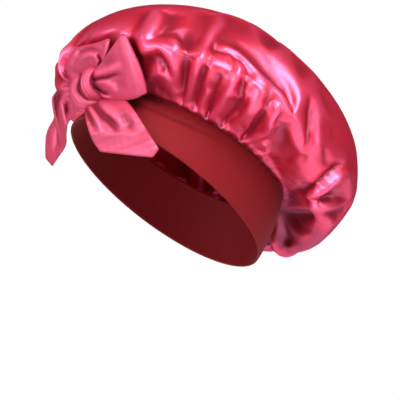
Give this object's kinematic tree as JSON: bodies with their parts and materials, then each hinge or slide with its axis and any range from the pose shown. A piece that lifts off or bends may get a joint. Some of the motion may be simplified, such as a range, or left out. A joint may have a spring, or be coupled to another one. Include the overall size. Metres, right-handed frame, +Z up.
{
  "type": "satin sleep bonnet with a tied bow",
  "caption": "Puffed, gathered satin sleep bonnet on a wide jersey band, tied in a bow at the front; the hollow crown keeps hair covered overnight.",
  "frame": {"origin": "middle of the band's lower edge, where the head goes in and the bonnet sits on it", "axes": "+Z up when worn, the face looks along -Y, the wearer's left is +X; the bonnet leans back by 37.7 degrees"},
  "size_m": [0.2724, 0.2684, 0.2258],
  "materials": {
    "crown_satin": "glossy crimson satin with pale pink highlights and dark valleys",
    "band_jersey": "matte dark red stretch jersey",
    "bow_satin": "soft rose-red satin, less glossy than the crown"
  },
  "bodies": {
    "root": {"crown": "crown_satin", "band": "band_jersey", "bow_crossing": "bow_satin", "bow_knot": "bow_satin", "bow_loop_left": "bow_satin", "bow_loop_right": "bow_satin", "tie_end_left": "bow_satin", "tie_end_right": "bow_satin"}
  },
  "joints": []
}
